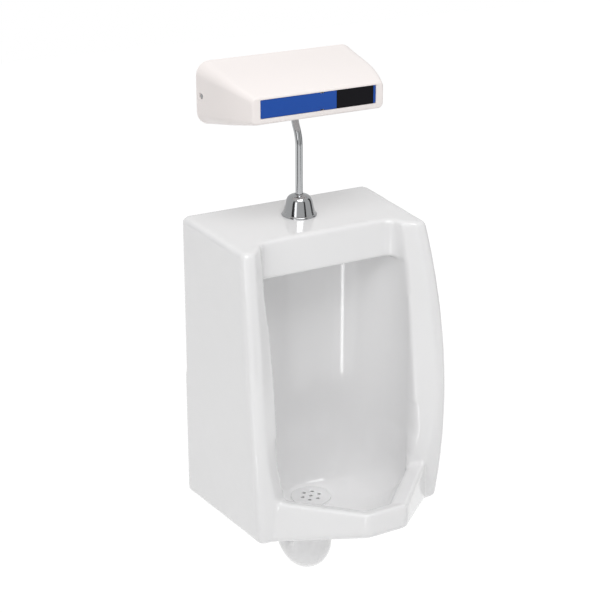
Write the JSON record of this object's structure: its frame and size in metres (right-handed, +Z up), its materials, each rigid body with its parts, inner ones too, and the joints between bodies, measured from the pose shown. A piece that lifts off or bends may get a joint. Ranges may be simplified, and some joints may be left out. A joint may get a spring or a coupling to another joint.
{
  "type": "wall hung urinal",
  "caption": "Wall hung china urinal with an angular lip, a domed pipe escutcheon, a bent chrome flush pipe and a sensor flush box with a blue strip and dark window.",
  "frame": {"origin": "middle of the four hanger screws, on the wall's face", "axes": "+X to the viewer's right, +Y into the wall, +Z up"},
  "size_m": [0.3806, 0.4185, 0.9368],
  "materials": {
    "china": "gloss white glaze, unglazed at the back",
    "strainer_china": "gloss white glaze",
    "zinc_steel": "zinc plated sheet",
    "zinc_screw": "zinc plated",
    "brass": "machined",
    "cast_brass": "sand cast, machined faces",
    "black_rubber": "moulded",
    "chrome_trim": "bright plated",
    "piston_plastic": "moulded acetal",
    "spring_steel": "drawn wire",
    "bright_steel": "stainless",
    "coil_plastic": "overmoulded winding",
    "cover_plastic": "smooth moulded, slightly warm white",
    "blue_strip": "smooth, coloured",
    "dark_window": "dark and clear to infrared",
    "module_plastic": "moulded",
    "board_green": "lacquered board",
    "emitter_lens": "clear blue resin",
    "receiver_lens": "dark resin",
    "battery_sleeve": "plain sleeve over steel",
    "lead_sheath": "flexible sheath"
  },
  "bodies": {
    "urinal": {"urinal_bowl": "china", "strainer": "strainer_china", "hanger_brackets": "zinc_steel", "hanger_screws": "zinc_screw", "wall_washers": "zinc_screw", "wall_screws": "zinc_screw", "spud": "brass", "spud_gasket": "black_rubber", "spud_washer": "brass", "spud_locknut": "brass", "pipe_gland_nut": "brass", "pipe_packing": "black_rubber", "bell_escutcheon": "chrome_trim", "flush_pipe": "chrome_trim", "valve_body": "cast_brass", "valve_cap": "cast_brass", "cap_seal": "black_rubber", "piston_spring": "spring_steel", "outlet_coupling_nut": "brass", "outlet_packing": "black_rubber", "solenoid_core_tube": "bright_steel", "solenoid_coil": "coil_plastic", "plunger_spring": "spring_steel", "stop_packing": "black_rubber", "stop_gland_nut": "brass", "supply_nipple": "brass", "inlet_filter": "bright_steel", "box_cover": "cover_plastic", "cover_screws": "zinc_screw", "fascia_strip": "blue_strip", "sensor_window": "dark_window", "back_plate": "zinc_steel", "back_plate_screws": "zinc_screw", "sensor_module_case": "module_plastic", "circuit_board": "board_green", "infrared_emitter": "emitter_lens", "infrared_receiver": "receiver_lens", "battery_case": "module_plastic", "battery_lid": "module_plastic", "batteries": "battery_sleeve", "battery_lead": "lead_sheath", "coil_lead": "lead_sheath"},
    "piston_assembly": {"flush_piston": "piston_plastic", "piston_seal": "black_rubber", "seat_washer": "black_rubber"},
    "plunger": {"solenoid_plunger": "bright_steel"},
    "stop_spindle_body": {"stop_spindle": "brass"},
    "stop_plug_body": {"stop_plug": "brass"}
  },
  "joints": [
    {"name": "piston_lift", "type": "slide", "parent": "urinal", "child": "piston_assembly", "axis": [0, 0, 1], "range_m": [0, 0.006], "stiffness_N_per_m": 120, "springref_m": -0.01, "deforming": ["piston_spring"]},
    {"name": "plunger_lift", "type": "slide", "parent": "urinal", "child": "plunger", "axis": [0, 0, 1], "range_m": [0, 0.0025], "stiffness_N_per_m": 150, "springref_m": -0.004, "deforming": ["plunger_spring"]},
    {"name": "stop_spindle_turn", "type": "hinge", "parent": "urinal", "child": "stop_spindle_body", "pos_m": [0.05, -0.06, 0.266], "axis": [1, 0, 0], "range_deg": [-1080, 0]},
    {"name": "stop_plug_travel", "type": "slide", "parent": "urinal", "child": "stop_plug_body", "axis": [1, 0, 0], "range_m": [-0.0057, 0]}
  ],
  "couplings": [
    {"joint": "plunger_lift", "follows": "piston_lift", "ratio": 0.4166},
    {"joint": "stop_spindle_turn", "follows": "stop_plug_travel", "rad_per_m": 3306.9}
  ]
}
